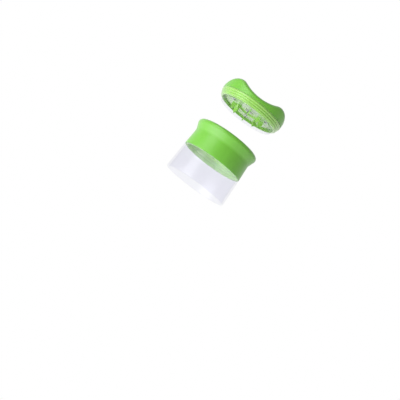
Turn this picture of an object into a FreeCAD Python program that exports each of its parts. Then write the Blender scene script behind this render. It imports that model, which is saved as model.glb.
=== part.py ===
"""Hand-held twist spiralizer: a collar with a clear skirt and a blade deck, and a food holder above it.

The frame has +Z up along the tool's axis, and its origin is the centre of the skirt's foot. All
sizes are in millimetres and degrees. The blade's cutting edge lies along +X.
"""

import FreeCAD, Part
import Sketcher
import math
import os
import re

SIZES = {
    # clear skirt
    "skirt_height": 36.8,
    "skirt_flare": 1.6,
    "skirt_wall": 2.4,
    "skirt_foot_round": 0.7,
    "skirt_neck_drop": 3.0,
    "spigot_height": 9.0,
    "spigot_wall": 1.6,
    "spigot_fit": 0.1,
    "spigot_lead": 0.5,
    "bead_rise": 4.5,
    "bead_height": 0.4,
    "bead_flat": 0.8,
    # collar
    "collar_height": 37.4,
    "joint_flare": 1.4,
    "grip_skin": 2.0,
    "core_wall": 1.6,
    "waist_depth": 3.6,
    "flare_height": 9.2,
    "waist_bend": 9.0,
    "lip_radius": 44.0,
    "lip_height": 5.5,
    "lip_under_round": 3.0,
    "lip_round": 4.1,
    "lip_flat": 0.1,
    "lip_inner_round": 0.4,
    "ledge_width": 2.0,
    "ledge_thickness": 1.6,
    "spigot_end_gap": 0.3,
    # feed funnel
    "flange_drop": 1.3,
    "flange_thickness": 1.5,
    "flange_gap": 0.3,
    "throat_gap": 1.6,
    "throat_height": 4.5,
    "funnel_wall": 1.6,
    # blade deck
    "deck_rise": 12.5,
    "deck_thickness": 3.0,
    "deck_fit": 0.1,
    "deck_rib_gap": 1.4,
    "deck_rib_width": 1.4,
    "deck_rib_depth": 1.8,
    "deck_web_count": 5,
    "deck_web_width": 1.2,
    "deck_hub_radius": 6.5,
    "deck_boss_radius": 3.0,
    "deck_boss_depth": 3.0,
    "window_start": 6.0,
    "window_half_width": 4.2,
    "window_corner": 1.2,
    # slicing blade
    "blade_start": 5.6,
    "blade_gauge": 0.8,
    "blade_flange_edge": 13.4,
    "blade_bend_line": 4.6,
    "blade_tip_line": 2.4,
    "blade_bevel": 2.0,
    "blade_recess_fit": 0.2,
    "blade_throat_gap": 0.5,
    "slice_height": 3.0,
    "blade_screw_line": 9.0,
    "blade_screw_start": 10.8,
    "blade_screw_end": 3.3,
    # julienne comb
    "comb_line": 6.0,
    "comb_gauge": 0.6,
    "comb_start": 6.2,
    "comb_fit": 0.05,
    "comb_strip_rise": 0.8,
    "comb_tooth_rise": 4.6,
    "comb_tooth_width": 1.6,
    "comb_tooth_tip": 0.4,
    "comb_tooth_start": 8.4,
    "noodle_pitch": 4.0,
    # coring tube
    "tube_radius": 4.5,
    "tube_wall": 0.5,
    "tube_fit": 0.05,
    "tube_rise": 8.0,
    "tube_tail": 1.5,
    "tube_bevel": 1.2,
    "tube_edge": 0.1,
    # screws
    "screw_fit": 0.05,
    "blade_screw_radius": 1.25,
    "blade_screw_head": 2.2,
    "blade_screw_length": 5.2,
    "deck_screw_count": 3,
    "deck_screw_inset": 3.0,
    "deck_screw_radius": 1.3,
    "deck_screw_head": 2.6,
    "deck_screw_head_depth": 1.8,
    "deck_screw_length": 7.6,
    "core_boss_radius": 3.2,
    "core_boss_height": 5.5,
    "holder_screw_count": 3,
    "holder_screw_radius": 1.4,
    "holder_screw_head": 2.6,
    "holder_screw_head_depth": 1.6,
    "holder_screw_length": 9.6,
    # food holder: the gap is from the collar's crest to the rim's foot
    "holder_gap": 40.4,
    "cup_play": 0.4,
    "cup_draft": 1.0,
    "cup_drop": 4.7,
    "cup_wall": 1.8,
    "cup_round": 0.8,
    "cup_groove_gap": 0.3,
    "rim_foot_wall": 2.1,
    "rim_foot_round": 0.6,
    "rim_slant": 3.2,
    "rim_height": 9.7,
    "rim_top_round": 0.9,
    "rim_ridge_bend": 1.7,
    "rim_lip_width": 1.4,
    "rim_lip_height": 4.6,
    "plate_fit": 0.1,
    "plate_flange": 1.2,
    "plate_floor": 2.7,
    "plate_wall": 3.3,
    "teeth_plate_edge": 3.4,
    "teeth_plate_margin": 3.1,
    "teeth_plate_thickness": 2.0,
    "tooth_count": 8,
    "tooth_gap": 1.6,
    "tooth_width": 6.4,
    "tooth_tip_inset": 3.0,
    "tooth_length": 8.6,
    "tooth_shoulder": 4.0,
    "tooth_thickness": 1.6,
    "spike_flange_radius": 5.0,
    "spike_flange_thickness": 1.2,
    "spike_radius": 1.8,
    "spike_length": 12.0,
    "spike_point": 5.0,
    "spike_stud_radius": 1.5,
    "spike_stud_length": 2.4,
    # saddle-shaped handle
    "handle_overhang": 0.5,
    "handle_skin": 2.2,
    "handle_dip": 6.2,
    "saddle_depth": 9.2,
    "lobe_inset": 14.5,
    "lobe_round": 14.0,
    "lobe_fall": 64.0,
    "handle_edge_round": 5.0,
    "handle_boss_radius": 3.4,
    "handle_boss_gap": 2.9,
}

RIDGES = 4
MARGIN = 1.0
WHOLE_TURN = 360.0
TOLERANCE = 1e-4

# heights in the tool's own frame
DECK_UNDERSIDE = "skirt_height + deck_rise"
DECK_TOP = "skirt_height + deck_rise + deck_thickness"
RIM_FOOT = "skirt_height + collar_height + holder_gap"

# heights above the skirt's joint
LEDGE = "(deck_rise + deck_thickness)"
LIP_RISE = "(collar_height - lip_height)"
WAIST_RISE = f"({LIP_RISE} - flare_height)"
FLANGE_SEAT = f"({LIP_RISE} - flange_drop)"
FLANGE_TOP = f"({FLANGE_SEAT} + flange_thickness)"

# heights above the rim's foot
RIM_STEP = "(rim_height - rim_lip_height)"
PLATE_UNDERSIDE = f"({RIM_STEP} - plate_flange)"
TEETH_UNDERSIDE = f"({PLATE_UNDERSIDE} - teeth_plate_thickness)"

# radii of the collar and the skirt, from the lip inwards and down
WAIST_RADIUS = "(lip_radius - waist_depth)"
MOUTH_RADIUS = "(lip_radius - lip_round - lip_flat - lip_inner_round)"
JOINT_RADIUS = f"({WAIST_RADIUS} + joint_flare)"
SKIRT_FOOT_RADIUS = f"({JOINT_RADIUS} + skirt_flare)"
SPIGOT_BORE = f"({JOINT_RADIUS} - grip_skin - core_wall)"
SPIGOT_RADIUS = f"({SPIGOT_BORE} - spigot_fit)"
CORE_BORE = f"({WAIST_RADIUS} - grip_skin - core_wall)"
CORE_TOP_RADIUS = f"({WAIST_RADIUS} - grip_skin + waist_depth * (1 - flange_drop / flare_height))"

# radii of the deck and what stands on it
DECK_RADIUS = CORE_BORE
DECK_BORE = f"({DECK_RADIUS} + deck_fit)"
DECK_SCREW_CIRCLE = f"({DECK_RADIUS} - deck_screw_inset)"
DECK_RIB_RADIUS = f"({DECK_SCREW_CIRCLE} - deck_screw_head - deck_rib_gap)"
THROAT_RADIUS = f"({DECK_SCREW_CIRCLE} - core_boss_radius - throat_gap - funnel_wall)"
BLADE_REACH = f"({THROAT_RADIUS} - blade_throat_gap)"
RECESS_REACH = f"({BLADE_REACH} + blade_recess_fit)"

# along the blade and the comb
BLADE_SLOPE = "(slice_height / (blade_bend_line + blade_tip_line))"
BLADE_FLANGE_END = f"sqrt({BLADE_REACH} ^ 2 - blade_flange_edge ^ 2)"
BLADE_SCREW_PITCH = f"({BLADE_FLANGE_END} - blade_screw_end - blade_screw_start)"
COMB_END = f"sqrt({BLADE_REACH} ^ 2 - comb_line ^ 2)"
COMB_ROOM = f"({COMB_END} - comb_tooth_start - comb_tooth_width / 2)"
COMB_TOOTH_COUNT = f"(floor({COMB_ROOM} / noodle_pitch) + 1)"

# radii of the food holder: its cup goes into the collar's mouth, and the rest is built on the cup
CUP_TOP_RADIUS = f"({MOUTH_RADIUS} - cup_play)"
CUP_RADIUS = f"({CUP_TOP_RADIUS} - cup_draft)"
RIM_BORE = f"({CUP_TOP_RADIUS} + cup_groove_gap)"
RIM_FOOT_RADIUS = f"({RIM_BORE} + rim_foot_wall)"
RIM_RADIUS = f"({RIM_FOOT_RADIUS} + rim_slant)"
RIM_LIP_BORE = f"({RIM_BORE} - rim_lip_width)"
PLATE_RADIUS = f"({RIM_LIP_BORE} - plate_fit)"
HOLDER_SCREW_CIRCLE = f"({PLATE_RADIUS} - plate_wall - handle_boss_gap - handle_boss_radius)"
TEETH_PLATE_RADIUS = f"({HOLDER_SCREW_CIRCLE} + teeth_plate_edge)"
TOOTH_OUTER = f"({HOLDER_SCREW_CIRCLE} - holder_screw_head - tooth_gap)"
TOOTH_INNER = f"({TOOTH_OUTER} - tooth_width)"
HANDLE_RADIUS = f"({RIM_RADIUS} + handle_overhang)"
LOBE_SPREAD = f"({HANDLE_RADIUS} - lobe_inset)"

doc = FreeCAD.newDocument("spiralizer")
sheet = doc.addObject("Spreadsheet::Sheet", "Sizes")


def fill_sheet():
    """Write each driving dimension to a cell of its own and give the cell its name."""
    for row, (name, number) in enumerate(SIZES.items(), start=1):
        sheet.set(f"A{row}", name)
        sheet.set(f"B{row}", str(number))
        sheet.setAlias(f"B{row}", name)
    doc.recompute()


def sized(expression):
    """The expression with each size's name pointing at its cell."""
    return re.sub(r"\b[a-z]+(?:_[a-z]+)+\b", lambda word: "Sizes." + word.group(), str(expression))


def measure(expression):
    """The expression's number now."""
    found = sheet.evalExpression(sized(expression))
    return float(getattr(found, "Value", found))


def bind(item, prop, expression):
    """Tie a property to the sheet."""
    item.setExpression(prop, sized(expression))


def new_piece(name, x="0", y="0", z="0"):
    """An empty body with its own label, standing where the expressions say."""
    piece = doc.addObject("PartDesign::Body", name)
    piece.Label = name
    bind(piece, "Placement.Base.x", x)
    bind(piece, "Placement.Base.y", y)
    bind(piece, "Placement.Base.z", z)
    return piece


def origin_part(piece, role):
    """One of the body's own origin planes or axes."""
    return next(part for part in piece.Origin.OriginFeatures if part.Role == role)


def new_sketch(piece, name, plane, offset="0"):
    """An empty sketch on one of the body's origin planes, moved along the plane's normal."""
    sketch = piece.newObject("Sketcher::SketchObject", f"{piece.Name}_{name}")
    sketch.AttachmentSupport = [(origin_part(piece, plane), "")]
    sketch.MapMode = "FlatFace"
    bind(sketch, "AttachmentOffset.Base.z", offset)
    return sketch


def fix_point(sketch, geometry, end, x, y):
    """Hold one end of a line or arc, or a circle's centre, at a bound place."""
    for kind, axis, expression in (("DistanceX", -2, x), ("DistanceY", -1, y)):
        number = measure(expression)
        if abs(number) < TOLERANCE:
            sketch.addConstraint(Sketcher.Constraint("PointOnObject", geometry, end, axis))
            continue
        index = sketch.addConstraint(Sketcher.Constraint(kind, -1, 1, geometry, end, number))
        bind(sketch, f"Constraints[{index}]", expression)


def fix_radius(sketch, geometry, expression):
    """Bind a circle's or arc's radius."""
    index = sketch.addConstraint(Sketcher.Constraint("Radius", geometry, measure(expression)))
    bind(sketch, f"Constraints[{index}]", expression)


def arc_between(start, end, radius, turn):
    """The short arc from start to end that turns left or right, drawn anticlockwise."""
    along = end - start
    half = along.Length / 2
    rise = math.sqrt(max(radius**2 - half**2, 0))
    left = FreeCAD.Vector(-along.y, along.x, 0).normalize()
    centre = (start + end) / 2 + left * (rise if turn == "left" else -rise)
    first, last = (start, end) if turn == "left" else (end, start)
    circle = Part.Circle(centre, FreeCAD.Vector(0, 0, 1), radius)
    angles = [math.atan2(point.y - centre.y, point.x - centre.x) for point in (first, last)]
    return Part.ArcOfCircle(circle, *angles)


def outline(piece, name, plane, corners, offset="0"):
    """A closed outline through the corners, each (x, y) or (x, y, turn, radius).

    A corner with a turn starts an arc to the next corner, and the others start a straight side.
    """
    sketch = new_sketch(piece, name, plane, offset)
    points = [FreeCAD.Vector(measure(corner[0]), measure(corner[1]), 0) for corner in corners]
    ends = []
    for number, corner in enumerate(corners):
        start = points[number]
        end = points[(number + 1) % len(points)]
        if len(corner) == 2:
            sketch.addGeometry(Part.LineSegment(start, end), False)
            ends.append((1, 2))
        else:
            turn, radius = corner[2:]
            sketch.addGeometry(arc_between(start, end, measure(radius), turn), False)
            ends.append((1, 2) if turn == "left" else (2, 1))
    for number, corner in enumerate(corners):
        following = (number + 1) % len(corners)
        joint = Sketcher.Constraint("Coincident", number, ends[number][1], following, ends[following][0])
        sketch.addConstraint(joint)
    for number, corner in enumerate(corners):
        fix_point(sketch, number, ends[number][0], corner[0], corner[1])
        if len(corner) > 2:
            fix_radius(sketch, number, corner[3])
    return sketch


def circles(piece, name, plane, rounds, offset="0"):
    """A sketch of circles, each (x, y, radius)."""
    sketch = new_sketch(piece, name, plane, offset)
    for number, (x, y, radius) in enumerate(rounds):
        centre = FreeCAD.Vector(measure(x), measure(y), 0)
        sketch.addGeometry(Part.Circle(centre, FreeCAD.Vector(0, 0, 1), measure(radius)), False)
        fix_point(sketch, number, 3, x, y)
        fix_radius(sketch, number, radius)
    return sketch


def revolve(piece, sketch, axis="V_Axis"):
    """Turn the outline once round the sketch's upright axis, or round another axis drawn in it."""
    turned = piece.newObject("PartDesign::Revolution", f"{sketch.Name}_turned")
    turned.Profile = sketch
    turned.ReferenceAxis = (sketch, [axis])
    turned.Angle = WHOLE_TURN
    doc.recompute()
    return turned


def pad(piece, sketch, length, side="One side", down=False):
    """Raise the outline by a bound length."""
    raised = piece.newObject("PartDesign::Pad", f"{sketch.Name}_pad")
    raised.Profile = sketch
    raised.SideType = side
    raised.Reversed = down
    bind(raised, "Length", length)
    doc.recompute()
    return raised


def pocket(piece, sketch, depth, side="One side", up=False):
    """Sink the outline by a bound depth, and make sure that it took something away."""
    before = piece.Shape.Volume
    sunk = piece.newObject("PartDesign::Pocket", f"{sketch.Name}_pocket")
    sunk.Profile = sketch
    sunk.SideType = side
    sunk.Reversed = up
    bind(sunk, "Length", depth)
    doc.recompute()
    if not piece.Shape.Volume < before - TOLERANCE:
        raise RuntimeError(f"{sunk.Name} cuts nothing")
    return sunk


def ring_pattern(piece, feature, count, turn=WHOLE_TURN):
    """Repeat a feature evenly round the body's own Z, over a whole turn or a part of one."""
    ring = piece.newObject("PartDesign::PolarPattern", f"{feature.Name}_ring")
    ring.Originals = [feature]
    ring.Axis = (origin_part(piece, "Z_Axis"), [""])
    ring.Angle = turn
    bind(ring, "Occurrences", count)
    piece.Tip = ring
    doc.recompute()
    return ring


def row_pattern(piece, feature, pitch, count):
    """Repeat a feature along the body's own X."""
    row = piece.newObject("PartDesign::LinearPattern", f"{feature.Name}_row")
    row.Originals = [feature]
    row.Direction = (origin_part(piece, "X_Axis"), [""])
    row.Mode = "Spacing"
    bind(row, "Offset", pitch)
    bind(row, "Occurrences", count)
    piece.Tip = row
    doc.recompute()
    return row


def ring_edge(feature, radius, height):
    """The name of the circular edge about Z with this radius and height."""
    for number, edge in enumerate(feature.Shape.Edges, start=1):
        if not isinstance(edge.Curve, Part.Circle):
            continue
        near_radius = abs(edge.Curve.Radius - measure(radius)) < TOLERANCE
        if near_radius and abs(edge.Curve.Center.z - measure(height)) < TOLERANCE:
            return f"Edge{number}"
    raise RuntimeError(f"no edge of radius {radius} at {height} on {feature.Name}")


def round_ring(piece, radius, height, bend):
    """Round the body's circular edge that has this radius and height."""
    base = piece.Tip
    rounded = piece.newObject("PartDesign::Fillet", f"{piece.Name}_round_{len(piece.Group)}")
    rounded.Base = (base, [ring_edge(base, radius, height)])
    bind(rounded, "Radius", bend)
    doc.recompute()
    return rounded


def make_skirt():
    """Clear guard: a tapered shell with a spigot and a snap bead that go up into the collar."""
    piece = new_piece("clear_skirt")
    bead_out = f"{SPIGOT_RADIUS} + bead_height"
    bead_foot = "skirt_height + bead_rise - bead_flat / 2 - bead_height"
    bead_top = "skirt_height + bead_rise + bead_flat / 2 + bead_height"
    spigot_top = "skirt_height + spigot_height"
    spigot_inner = f"{SPIGOT_RADIUS} - spigot_wall"
    shape = outline(piece, "section", "XZ_Plane", [
        (f"{SKIRT_FOOT_RADIUS} - skirt_wall + skirt_foot_round", "0"),
        (f"{SKIRT_FOOT_RADIUS} - skirt_foot_round", "0", "left", "skirt_foot_round"),
        (SKIRT_FOOT_RADIUS, "skirt_foot_round"),
        (JOINT_RADIUS, "skirt_height"),
        (SPIGOT_RADIUS, "skirt_height"),
        (SPIGOT_RADIUS, bead_foot),
        (bead_out, f"{bead_foot} + bead_height"),
        (bead_out, f"{bead_top} - bead_height"),
        (SPIGOT_RADIUS, bead_top),
        (SPIGOT_RADIUS, f"{spigot_top} - spigot_lead"),
        (f"{SPIGOT_RADIUS} - spigot_lead", spigot_top),
        (spigot_inner, spigot_top),
        (spigot_inner, "skirt_height + spigot_wall / 2"),
        (f"{JOINT_RADIUS} - skirt_wall", "skirt_height - skirt_neck_drop"),
        (f"{SKIRT_FOOT_RADIUS} - skirt_wall", "skirt_foot_round", "left", "skirt_foot_round"),
    ])
    revolve(piece, shape)
    return piece


def make_grip():
    """Soft sleeve of the collar: a taper to the waist, a flare, and a rounded lip over the funnel."""
    piece = new_piece("collar_grip", z="skirt_height")
    shape = outline(piece, "section", "XZ_Plane", [
        (f"{JOINT_RADIUS} - grip_skin", "0"),
        (JOINT_RADIUS, "0"),
        (WAIST_RADIUS, WAIST_RISE),
        ("lip_radius", LIP_RISE),
        ("lip_radius", "collar_height"),
        (MOUTH_RADIUS, "collar_height"),
        (MOUTH_RADIUS, FLANGE_TOP),
        (CORE_TOP_RADIUS, FLANGE_TOP),
        (CORE_TOP_RADIUS, FLANGE_SEAT),
        (f"{WAIST_RADIUS} - grip_skin", WAIST_RISE),
    ])
    revolve(piece, shape)
    round_ring(piece, WAIST_RADIUS, WAIST_RISE, "waist_bend")
    round_ring(piece, f"{WAIST_RADIUS} - grip_skin", WAIST_RISE, "waist_bend")
    round_ring(piece, "lip_radius", LIP_RISE, "lip_under_round")
    round_ring(piece, "lip_radius", "collar_height", "lip_round")
    round_ring(piece, MOUTH_RADIUS, "collar_height", "lip_inner_round")
    return piece


def make_core():
    """Rigid collar under the sleeve: skirt bore with a snap groove, deck seat, ledge and bosses."""
    piece = new_piece("collar_core", z="skirt_height")
    skirt_seat = "spigot_height + spigot_end_gap"
    groove_out = f"{SPIGOT_BORE} + bead_height"
    groove_foot = "bead_rise - bead_flat / 2 - bead_height"
    groove_top = "bead_rise + bead_flat / 2 + bead_height"
    ledge_top = f"{LEDGE} + ledge_thickness"
    shape = outline(piece, "section", "XZ_Plane", [
        (SPIGOT_BORE, "0"),
        (f"{JOINT_RADIUS} - grip_skin", "0"),
        (f"{WAIST_RADIUS} - grip_skin", WAIST_RISE),
        (CORE_TOP_RADIUS, FLANGE_SEAT),
        (f"{CORE_TOP_RADIUS} - core_wall", FLANGE_SEAT),
        (CORE_BORE, WAIST_RISE),
        (CORE_BORE, ledge_top),
        (f"{DECK_BORE} - ledge_width", ledge_top),
        (f"{DECK_BORE} - ledge_width", LEDGE),
        (DECK_BORE, LEDGE),
        (DECK_BORE, skirt_seat),
        (SPIGOT_BORE, skirt_seat),
        (SPIGOT_BORE, groove_top),
        (groove_out, f"{groove_top} - bead_height"),
        (groove_out, f"{groove_foot} + bead_height"),
        (SPIGOT_BORE, groove_foot),
    ])
    revolve(piece, shape)
    round_ring(piece, f"{WAIST_RADIUS} - grip_skin", WAIST_RISE, "waist_bend")
    boss = circles(piece, "boss", "XY_Plane", [("0", DECK_SCREW_CIRCLE, "core_boss_radius")], LEDGE)
    ring_pattern(piece, pad(piece, boss, "core_boss_height"), "deck_screw_count")
    pilot_radius = "deck_screw_radius + screw_fit"
    pilot = circles(piece, "pilot", "XY_Plane", [("0", DECK_SCREW_CIRCLE, pilot_radius)], LEDGE)
    drilled = pocket(piece, pilot, "core_boss_height", up=True)
    ring_pattern(piece, drilled, "deck_screw_count")
    return piece


def make_funnel():
    """Feed funnel: a throat on the deck, a cone, and a flange that the collar's lip holds down."""
    piece = new_piece("feed_funnel", z=DECK_TOP)
    seat = f"({FLANGE_SEAT} - {LEDGE})"
    cone_outer = f"{CORE_TOP_RADIUS} - core_wall - flange_gap"
    shape = outline(piece, "section", "XZ_Plane", [
        (THROAT_RADIUS, "0"),
        (f"{THROAT_RADIUS} + funnel_wall", "0"),
        (f"{THROAT_RADIUS} + funnel_wall", "throat_height"),
        (cone_outer, seat),
        (f"{CORE_TOP_RADIUS} - flange_gap", seat),
        (f"{CORE_TOP_RADIUS} - flange_gap", f"{seat} + flange_thickness"),
        (MOUTH_RADIUS, f"{seat} + flange_thickness"),
        (THROAT_RADIUS, "throat_height"),
    ])
    revolve(piece, shape)
    return piece


def make_deck():
    """Blade deck: a disc with a noodle window, a blade recess, a comb slot and bosses beneath."""
    piece = new_piece("blade_deck", z=DECK_UNDERSIDE)
    disc = circles(piece, "disc", "XY_Plane", [("0", "0", DECK_RADIUS)])
    pad(piece, disc, "deck_thickness")
    rib_inner = f"{DECK_RIB_RADIUS} - deck_rib_width"
    rib = circles(piece, "rib", "XY_Plane", [("0", "0", DECK_RIB_RADIUS), ("0", "0", rib_inner)])
    pad(piece, rib, "deck_rib_depth", down=True)
    hub = circles(piece, "hub", "XY_Plane", [("0", "0", "deck_hub_radius")])
    pad(piece, hub, "deck_boss_depth", down=True)
    web = outline(piece, "web", "XY_Plane", [
        ("0 - deck_web_width / 2", "deck_hub_radius - deck_web_width"),
        ("deck_web_width / 2", "deck_hub_radius - deck_web_width"),
        ("deck_web_width / 2", f"{rib_inner} + deck_rib_width / 2"),
        ("0 - deck_web_width / 2", f"{rib_inner} + deck_rib_width / 2"),
    ])
    ring_pattern(piece, pad(piece, web, "deck_rib_depth", down=True), "deck_web_count", WHOLE_TURN / 2)
    boss_place = ("blade_screw_start", "0 - blade_screw_line")
    boss = circles(piece, "boss", "XY_Plane", [(*boss_place, "deck_boss_radius")])
    raised = pad(piece, boss, "deck_boss_depth", down=True)
    row_pattern(piece, raised, BLADE_SCREW_PITCH, "2")
    whole = "deck_thickness + deck_boss_depth"

    bore = circles(piece, "bore", "XY_Plane", [("0", "0", "tube_radius + tube_fit")], "deck_thickness")
    pocket(piece, bore, whole)
    window_reach = f"sqrt({BLADE_REACH} ^ 2 - window_half_width ^ 2)"
    window = outline(piece, "window", "XY_Plane", [
        ("window_start", "window_corner - window_half_width", "left", "window_corner"),
        ("window_start + window_corner", "0 - window_half_width"),
        (window_reach, "0 - window_half_width", "left", BLADE_REACH),
        (window_reach, "window_half_width"),
        ("window_start + window_corner", "window_half_width", "left", "window_corner"),
        ("window_start", "window_half_width - window_corner"),
    ], "deck_thickness")
    pocket(piece, window, whole)
    near_edge = f"(blade_bend_line - blade_gauge / {BLADE_SLOPE} - blade_recess_fit)"
    far_edge = "(blade_flange_edge + blade_recess_fit)"
    recess = outline(piece, "recess", "XY_Plane", [
        ("blade_start - blade_recess_fit", f"0 - {far_edge}"),
        (f"sqrt({RECESS_REACH} ^ 2 - {far_edge} ^ 2)", f"0 - {far_edge}", "left", RECESS_REACH),
        (f"sqrt({RECESS_REACH} ^ 2 - {near_edge} ^ 2)", f"0 - {near_edge}"),
        ("blade_start - blade_recess_fit", f"0 - {near_edge}"),
    ], "deck_thickness")
    pocket(piece, recess, "blade_gauge")
    slot_half = "comb_gauge / 2 + comb_fit"
    slot = outline(piece, "comb_slot", "XY_Plane", [
        ("comb_start - comb_fit", f"comb_line - ({slot_half})"),
        (f"{COMB_END} + comb_fit", f"comb_line - ({slot_half})"),
        (f"{COMB_END} + comb_fit", f"comb_line + {slot_half}"),
        ("comb_start - comb_fit", f"comb_line + {slot_half}"),
    ], "deck_thickness")
    pocket(piece, slot, whole)
    pilot = circles(piece, "pilot", "XY_Plane",
                    [(*boss_place, "blade_screw_radius + screw_fit")], "deck_thickness")
    row_pattern(piece, pocket(piece, pilot, whole), BLADE_SCREW_PITCH, "2")
    clearance = circles(piece, "screw_hole", "XY_Plane",
                        [("0", DECK_SCREW_CIRCLE, "deck_screw_radius + screw_fit")], "deck_thickness")
    ring_pattern(piece, pocket(piece, clearance, "deck_thickness"), "deck_screw_count")
    return piece


def make_blade():
    """Slicing blade: a flat flange with two countersunk holes, bent up to a bevelled edge."""
    piece = new_piece("slicing_blade", x="blade_start", z=DECK_TOP)
    bevel_top = f"(slice_height - blade_bevel * {BLADE_SLOPE})"
    shape = outline(piece, "section", "YZ_Plane", [
        ("0 - blade_flange_edge", "0 - blade_gauge"),
        ("0 - blade_bend_line", "0 - blade_gauge"),
        ("blade_tip_line - blade_bevel", f"{bevel_top} - blade_gauge"),
        ("blade_tip_line", "slice_height"),
        ("0 - blade_bend_line", "0"),
        ("0 - blade_flange_edge", "0"),
    ])
    pad(piece, shape, f"{BLADE_REACH} - blade_start")
    trim = circles(piece, "end_arc", "XY_Plane", [
        ("0 - blade_start", "0", BLADE_REACH),
        ("0 - blade_start", "0", f"2 * {THROAT_RADIUS}"),
    ], "slice_height")
    pocket(piece, trim, "slice_height + blade_gauge")
    hole_x = "blade_screw_start - blade_start"
    hole = circles(piece, "hole", "XY_Plane",
                   [(hole_x, "0 - blade_screw_line", "blade_screw_radius + screw_fit")])
    cone = piece.newObject("PartDesign::Hole", "slicing_blade_countersink")
    cone.Profile = hole
    doc.recompute()
    cone.DepthType = "ThroughAll"
    cone.HoleCutType = "Countersink"
    cone.HoleCutCustomValues = True
    bind(cone, "Diameter", "2 * (blade_screw_radius + screw_fit)")
    bind(cone, "HoleCutDiameter", "2 * (blade_screw_head + screw_fit)")
    bind(cone, "HoleCutCountersinkAngle",
         "2 * atan((blade_screw_head - blade_screw_radius) / blade_gauge)")
    doc.recompute()
    row_pattern(piece, cone, BLADE_SCREW_PITCH, "2")
    return piece


def make_comb():
    """Julienne comb: a strip in the deck's slot with a row of upright pointed teeth."""
    piece = new_piece("julienne_comb", y="comb_line", z=DECK_TOP)
    strip = outline(piece, "strip", "XZ_Plane", [
        ("comb_start", "0 - deck_thickness"),
        (COMB_END, "0 - deck_thickness"),
        (COMB_END, "comb_strip_rise"),
        ("comb_start", "comb_strip_rise"),
    ])
    pad(piece, strip, "comb_gauge", side="Symmetric")
    tooth = outline(piece, "tooth", "XZ_Plane", [
        ("comb_tooth_start - comb_tooth_width / 2", "0"),
        ("comb_tooth_start + comb_tooth_width / 2", "0"),
        ("comb_tooth_start + comb_tooth_width / 2", "comb_strip_rise"),
        ("comb_tooth_start + comb_tooth_tip / 2", "comb_tooth_rise"),
        ("comb_tooth_start - comb_tooth_tip / 2", "comb_tooth_rise"),
        ("comb_tooth_start - comb_tooth_width / 2", "comb_strip_rise"),
    ])
    first = pad(piece, tooth, "comb_gauge", side="Symmetric")
    row_pattern(piece, first, "noodle_pitch", COMB_TOOTH_COUNT)
    return piece


def make_coring_tube():
    """Coring tube: a thin tube pressed into the deck's hub, its top edge ground sharp."""
    piece = new_piece("coring_tube", z=DECK_TOP)
    foot = "0 - deck_thickness - tube_tail"
    shape = outline(piece, "section", "XZ_Plane", [
        ("tube_radius - tube_wall", foot),
        ("tube_radius", foot),
        ("tube_radius", "tube_rise - tube_bevel"),
        ("tube_radius - tube_wall + tube_edge", "tube_rise"),
        ("tube_radius - tube_wall", "tube_rise"),
    ])
    revolve(piece, shape)
    return piece


def make_blade_screws():
    """Countersunk screws that hold the blade's flange in its recess."""
    piece = new_piece("blade_screws", x="blade_screw_start", y="0 - blade_screw_line", z=DECK_TOP)
    shape = outline(piece, "section", "XZ_Plane", [
        ("0", "0 - blade_screw_length"),
        ("blade_screw_radius", "0 - blade_screw_length"),
        ("blade_screw_radius", "0 - blade_gauge"),
        ("blade_screw_head", "0"),
        ("0", "0"),
    ])
    row_pattern(piece, revolve(piece, shape), BLADE_SCREW_PITCH, "2")
    return piece


def make_upright_screws(name, size, circle, z):
    """Domed screws that point up, spaced evenly round the tool's axis, one node of separate solids."""
    piece = new_piece(name, z=z)
    depth = f"{size}_head_depth"
    crown = f"({size}_head ^ 2 + {depth} ^ 2) / (2 * {depth})"
    shape = outline(piece, "section", "YZ_Plane", [
        (circle, f"0 - {depth}", "left", crown),
        (f"{circle} + {size}_head", "0"),
        (f"{circle} + {size}_radius", "0"),
        (f"{circle} + {size}_radius", f"{size}_length"),
        (circle, f"{size}_length"),
    ])
    side = len(shape.Geometry) - 1
    axis = shape.addGeometry(shape.Geometry[side], True)
    for end in (1, 2):
        shape.addConstraint(Sketcher.Constraint("Coincident", axis, end, side, end))
    turned = revolve(piece, shape, "Axis0")
    ring_pattern(piece, turned, f"{size}_count")
    return piece


def make_cup():
    """Clear open cup below the rim, a shell with a rounded foot."""
    piece = new_piece("holder_cup", z=RIM_FOOT)
    top = f"{PLATE_UNDERSIDE} - cup_groove_gap"
    shape = outline(piece, "section", "XZ_Plane", [
        (f"{CUP_RADIUS} - cup_wall + cup_round", "0 - cup_drop"),
        (f"{CUP_RADIUS} - cup_round", "0 - cup_drop", "left", "cup_round"),
        (CUP_RADIUS, "cup_round - cup_drop"),
        (CUP_TOP_RADIUS, "0"),
        (CUP_TOP_RADIUS, top),
        (f"{CUP_TOP_RADIUS} - cup_wall", top),
        (f"{CUP_TOP_RADIUS} - cup_wall", "0"),
        (f"{CUP_RADIUS} - cup_wall", "cup_round - cup_drop", "left", "cup_round"),
    ])
    revolve(piece, shape)
    return piece


def ridge_corner(step):
    """Where a ridge starts, counted up the rim's slanted side from its foot."""
    share = step / RIDGES
    x = f"{RIM_FOOT_RADIUS} + ({RIM_RADIUS} - {RIM_FOOT_RADIUS}) * {share}"
    y = f"rim_foot_round + (rim_height - rim_top_round - rim_foot_round) * {share}"
    return x, y


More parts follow.
